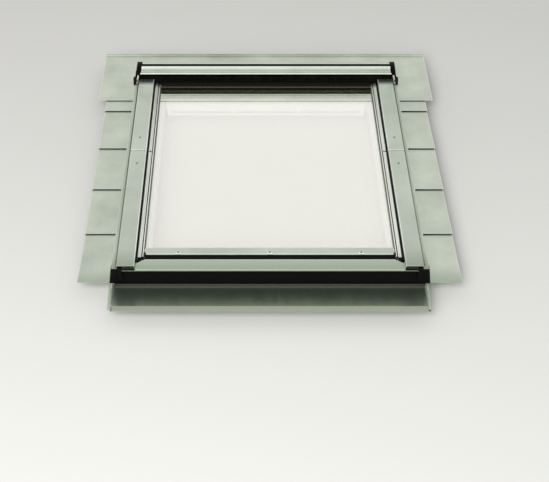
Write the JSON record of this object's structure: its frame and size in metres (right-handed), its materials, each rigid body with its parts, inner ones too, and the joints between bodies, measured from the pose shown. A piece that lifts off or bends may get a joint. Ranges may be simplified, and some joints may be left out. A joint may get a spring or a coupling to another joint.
{
  "type": "venting skylight",
  "caption": "Closed centre-pivot roof window: timber frame and sash, double glass, grey-green cladding with black caps, top hood, control bar, apron, soakers and head flashing.",
  "frame": {"origin": "middle of the whole footprint, on the room-side face of the timber frame", "axes": "+X across to the right seen from outside, +Y up the roof slope, +Z out of the roof"},
  "size_m": [1.222, 1.5651, 0.1901],
  "materials": {
    "white_timber": "white painted pine",
    "glass": "clear insulating glass",
    "spacer": "dark anodised spacer",
    "cladding": "satin grey-green coated sheet",
    "dark_cladding": "satin dark bronze coated sheet",
    "flashing": "matte grey-green coated sheet",
    "black_plastic": "black moulded plastic",
    "steel": "zinc plated steel",
    "white_metal": "white coated aluminium"
  },
  "bodies": {
    "root": {"frame_jamb_right": "white_timber", "frame_jamb_left": "white_timber", "frame_head": "white_timber", "frame_sill": "white_timber", "sash_stile_right": "white_timber", "sash_stile_left": "white_timber", "sash_top_rail": "white_timber", "sash_bottom_rail": "white_timber", "ventilation_flap": "white_timber", "outer_pane": "glass", "inner_pane": "glass", "glass_spacer": "spacer", "glazing_bead": "cladding", "sash_strips_right": "cladding", "sash_strips_left": "cladding", "side_cover_lower_right": "cladding", "side_cover_lower_left": "cladding", "side_cover_upper_right": "cladding", "side_cover_upper_left": "cladding", "outer_trim_right": "cladding", "outer_trim_left": "cladding", "bottom_cover": "cladding", "sash_bottom_profile": "cladding", "hood": "cladding", "sash_top_profile": "dark_cladding", "apron": "flashing", "soakers_right": "flashing", "soakers_left": "flashing", "head_flashing": "flashing", "cover_carriers_right": "black_plastic", "cover_carriers_left": "black_plastic", "corner_cap_right": "black_plastic", "corner_cap_left": "black_plastic", "sill_profile": "black_plastic", "hood_end_right": "black_plastic", "hood_end_left": "black_plastic", "hood_cheek_right": "black_plastic", "hood_cheek_left": "black_plastic", "vent_housing": "black_plastic", "mounting_brackets_right": "steel", "mounting_brackets_left": "steel", "pivot_hinge_right": "steel", "pivot_hinge_left": "steel", "sash_lock": "steel", "control_bar": "white_metal"}
  },
  "joints": []
}
